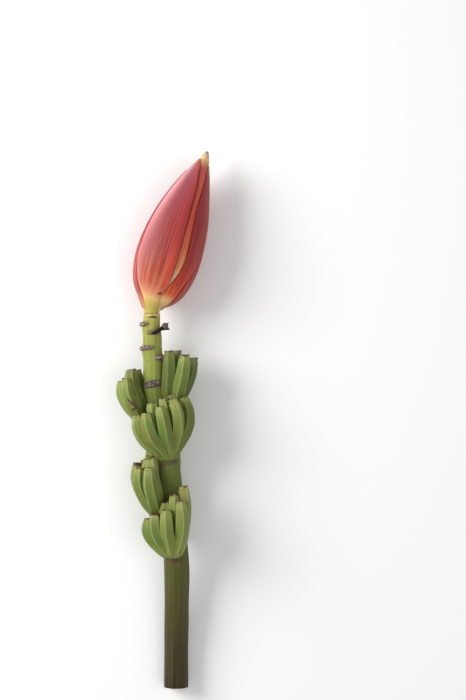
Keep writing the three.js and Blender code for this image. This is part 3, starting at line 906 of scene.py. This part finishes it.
# Each bract: where its foot and its end lie along the bud, the angles of its margins against that, its
# layer in steps down from the outermost, the degrees that a column of its mesh takes, how far the
# margin that shows tucks in, the width of that margin's rim of colour, and small brown marks.
BRACTS = {
    "bract_front": {
        "span": (-BUD_NECK, 200),
        "left": [(-10, -36), (-2, -34), (6, -37), (14, -43), (26, -50), (40, -55), (54, -60), (75, -63),
                 (100, -66), (140, -68), (170, -67), (200, -66)],
        "right": [(-10, 44), (0, 33), (8, 18), (15, 16), (21, 17), (31, 21), (54, 21.5), (77, 20), (100, 18),
                  (127, 16), (156, 14), (170, 10), (184, 2), (192, -8), (200, -26)],
        "layer": lambda degrees: 0 * degrees,
        "column": 0.75,
        "tuck": 1.5,
        "rim": 8.0,
        "marks": [(16.5, 10, 1.6, 3.2, 0.8), (18.5, 13.5, 1.2, 2.2, 0.7), (84, -12, 0.7, 0.5, 0.5)],
    },
    "bract_right": {
        "span": (-5, 196),
        "left": [(-5, 38), (0, 30), (6, 22), (12, 17), (22, 19), (32, 25), (41, 30), (50, 34), (62, 38),
                 (81, 37), (100, 35), (128, 33), (147, 34), (173, 42), (188, 48), (196, 54)],
        "right": [(-5, 86), (6, 100), (28, 118), (76, 130), (146, 130), (184, 118), (196, 106)],
        "layer": lambda degrees: 1 + 0 * degrees,
        "column": 0.9,
        "tuck": 0.4,
        "rim": 1.6,
        "marks": [(35.5, 39, 1.1, 1.1, 1), (58, 66, 0.8, 0.8, 0.8), (96, 52, 0.7, 0.7, 0.6)],
    },
    "bract_back": {
        "span": (-5, 184),
        "left": [(-5, 74), (0, 66), (12, 56), (24, 56), (42, 63), (54, 71), (66, 77), (80, 80), (98, 82),
                 (122, 86), (150, 97), (170, 114), (184, 134)],
        "right": [(-5, 328), (0, 331), (12, 330), (28, 322), (52, 316), (76, 312), (110, 308), (150, 304),
                  (170, 300), (184, 298)],
        "layer": lambda degrees: smooth(degrees, 268, 292),
        "column": 1.5,
        "tuck": 1.7,
        "rim": 1.6,
        "marks": [(70, 190, 1.4, 1.4, 0.8), (38, 150, 1, 1.6, 0.8), (120, 232, 1.2, 0.9, 0.7)],
    },
}


def bract_step(at):
    """How far apart the bracts lie: closer together at the neck and at the tip."""
    return BRACT_STEP * (0.5 + 0.5 * smooth(at, 0, 40) * (1 - smooth(at, 140, 190)))


def ribs(at, degrees, seed):
    """Fine ribs that run from foot to tip and crowd together at both ends, from -1 to 1."""
    angle = np.radians(degrees)
    fine = np.sin(angle * RIBS + 2.2 * waves(seed, angle * 6, at * 0.012))
    strength = np.clip(0.75 + 0.5 * waves(seed + 2, angle * 16, at * 0.02), 0.15, 1.4)
    return fine * strength * smooth(at, 36, 74) * (1 - smooth(at, 126, 176))


def broad_ribs(at, degrees, seed):
    """Broad soft stripes on the lower part, from about -1.5 to 1.5."""
    angle = np.radians(degrees)
    stripe = 0.9 * np.sin(angle * BROAD_RIBS + 1.8 * waves(seed + 1, angle * 5, at * 0.006))
    stripe = stripe + 0.5 * waves(seed + 4, angle * 12, at * 0.01)
    return stripe * smooth(at, 2, 26) * (1 - smooth(at, 64, 130))


def marks(at, degrees, spots):
    """Small brown marks: each has its place, its size along and across, and how dark it is."""
    total = 0 * at
    for mid, side, tall, wide, strength in spots:
        across = (degrees - side) * np.radians(bud_radius(mid))
        bend = 0.5 * waves(int(mid), at * 1.6, across * 1.6)
        near = ((at - mid) / tall) ** 2 + (across / wide) ** 2 + bend
        total = np.maximum(total, strength * (1 - smooth(near, 0.3, 1.3)))
    return total


def brim_of(name, at, degrees):
    """The front bract's painted highlight along its left margin, and the painted shadow where the back bract
    slips under it.
    """
    front_margin = through(BRACTS["bract_front"]["left"])(at) + 360 * (name == "bract_back")
    from_front = np.abs(degrees - front_margin) * np.radians(bud_radius(at))
    if name == "bract_back":
        return (1 - smooth(from_front, 5.5, 9.5)) * (degrees > 180)
    return (1 - smooth(from_front, 0.4, 4)) * (degrees < 0)


def make_bract(name):
    spec = BRACTS[name]
    start, end = spec["span"]
    left, right = through(spec["left"]), through(spec["right"])
    v = np.linspace(0, 1, BRACT_ROWS)[:, None] ** 1.2
    middle = np.linspace(start, end, 60)
    width = float(np.max(right(middle) - left(middle)))
    u = np.linspace(0, 1, int(width / spec["column"]))[None, :]
    rounded = ROUNDED_END * np.abs(2 * u - 1) ** 2.2
    at = start + (end - rounded - start) * v
    degrees = left(at) + (right(at) - left(at)) * u
    wide = np.radians(right(at) - left(at)) * bud_radius(at)
    from_edge = np.minimum(np.minimum(u, 1 - u) * wide, end - rounded - at)
    # The side whose margin shows: the front bract's right one, and the others' left ones
    shown = 1 - u if name == "bract_front" else u
    from_margin = shown * wide
    step = bract_step(at)
    outer = bud_radius(at) - spec["layer"](degrees) * step
    thick = BRACT_THICKNESS * step * (0.45 + 0.55 * smooth(from_edge, 0, 5))
    lies_close = smooth(at, 26, 60) * (1 - smooth(at, 140, 180))
    outer = outer - spec["tuck"] * (1 - smooth(from_margin, 0, 8)) * lies_close
    seed = 80 + len(name)
    rib = ribs(at, degrees, seed)
    if name == "bract_front":
        # Its ribs are strongest in the middle
        rib = rib * (1 - 0.6 * smooth(degrees, -14, 6)) * (1 - 0.8 * smooth(degrees, -36, -54))
    broad = broad_ribs(at, degrees, seed)
    outer = outer + (RIB_HEIGHT * rib + BROAD_RIB_HEIGHT * broad) * smooth(from_edge, 0, 6)
    uneven = UNEVEN_BRACT * waves(seed + 3, at * 0.03, np.radians(degrees) * 2)
    outer = outer + uneven * smooth(from_edge, 0, 8) * smooth(at, 0, 30)
    line = bud_line(at.reshape(-1))
    shape = at.shape + (3,)
    top = line.around(degrees.reshape(-1, 1), outer.reshape(-1, 1)).reshape(shape)
    low = line.around(degrees.reshape(-1, 1), (outer - thick).reshape(-1, 1)).reshape(shape)
    pieces = Pieces()
    pieces.shell(top, low, {
        "along": at,
        "around": degrees,
        "rib": rib,
        "broad": broad,
        "brim": brim_of(name, at, degrees),
        "rim": 1 - smooth(from_margin, 0.2, spec["rim"]),
        "torn": 1 - smooth(end - rounded - at, 0.5, 5),
        "mark": marks(at, degrees, spec["marks"]),
    })
    bract = pieces.build("skin_" + name, bract_finish(name), 60)
    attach(bract, "root")
    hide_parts(name)


def make_inner_bud():
    at = np.concatenate([np.linspace(-BUD_NECK, 190, 120), np.linspace(191, BUD_LENGTH, 34)])[:, None]
    degrees = ring_of(240)
    foot = 0.45 + 0.55 * smooth(at, -BUD_NECK, -5)
    covered = 2 * bract_step(at) * foot * (1 - smooth(at, 200, 206))
    # It fills out beyond the end of the right bract
    free = smooth(at, 195, 199) * smooth(degrees, 30, 60) * (1 - smooth(degrees, 150, 190))
    covered = covered * (1 - 0.7 * free)
    seed = 99
    rib = ribs(at, degrees, seed)
    radius = np.maximum(bud_radius(at) - covered, TIP_RADIUS) + INNER_RIB_HEIGHT * rib
    # It bulges out where it shows between the front and the right bract
    window = through(BRACTS["bract_front"]["right"])(at)
    across = (degrees - window) / np.maximum(through(BRACTS["bract_right"]["left"])(at) - window, 3)
    shows = smooth(at, 24, 44) * (1 - smooth(at, 165, 190))
    radius = radius + INNER_BULGE * np.clip(4 * across * (1 - across), 0, 1) * shows
    # At the tip the last bracts show as two folds wound round each other
    fold = np.sin(np.radians(degrees * 2) + (at - 196) * 0.12)
    radius = radius * (1 + TIP_FOLDS * fold * smooth(at, 198, 204) * (1 - smooth(at, 210, BUD_LENGTH)))
    line = bud_line(at[:, 0])
    flat = 0 * at * degrees
    pieces = Pieces()
    pieces.tube(line.around(degrees + 0 * at, radius), {
        "along": at + flat,
        "around": degrees + flat,
        "rib": rib,
        "broad": broad_ribs(at, degrees, seed),
        "rim": flat,
        "mark": flat,
    })
    bud = pieces.build("skin_inner_bud", bract_finish("inner_bud"), 70)
    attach(bud, "root")
    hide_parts("inner_bud")


make_stalk()
make_scars()
make_dried_flower()
make_dried_threads()
fruit = fruit_finish()
for hand_name, hand_sizes in HANDS.items():
    make_hand(hand_name, hand_sizes, fruit)
make_inner_bud()
for bract_name in BRACTS:
    make_bract(bract_name)

# The surface, the light and the camera

bpy.ops.mesh.primitive_plane_add(size=FLOOR_SIZE)
floor = bpy.context.object
floor.name = "floor"
floor.data.materials.append(plain_finish("pale_floor", (250, 250, 250), 0.8))

world = bpy.data.worlds.new("soft_white")
world.use_nodes = True
background = world.node_tree.nodes["Background"]
background.inputs["Color"].default_value = (1.0, 1.0, 1.0, 1.0)
background.inputs["Strength"].default_value = SKY_STRENGTH
bpy.context.scene.world = world
bpy.context.scene.view_settings.view_transform = "Standard"


def softbox(name, place, target, size, power):
    data = bpy.data.lights.new(name, "AREA")
    data.size = size
    data.energy = power
    light = bpy.data.objects.new(name, data)
    light.location = place
    light.rotation_euler = (Vector(target) - Vector(place)).to_track_quat("-Z", "Y").to_euler()
    bpy.context.scene.collection.objects.link(light)


for light_name, light_sizes in LIGHTS.items():
    softbox(light_name, **light_sizes)

# The camera looks straight down on the picture's middle and frames its height at the stalk's plane
middle_x = ((PHOTO_WIDTH / 2 - CUT_END_PIXEL[0]) * PIXEL + SHIFT[0]) * MM
middle_y = ((CUT_END_PIXEL[1] - PHOTO_HEIGHT / 2) * PIXEL + SHIFT[1]) * MM
camera_data = bpy.data.cameras.new("camera")
camera_data.sensor_fit = "VERTICAL"
camera_data.angle = 2 * math.atan(PHOTO_HEIGHT * PIXEL * MM / 2 / CAMERA_DISTANCE)
camera = bpy.data.objects.new("camera", camera_data)
camera.location = (middle_x, middle_y, AXIS_HEIGHT * MM + CAMERA_DISTANCE)
bpy.context.scene.collection.objects.link(camera)
bpy.context.scene.camera = camera
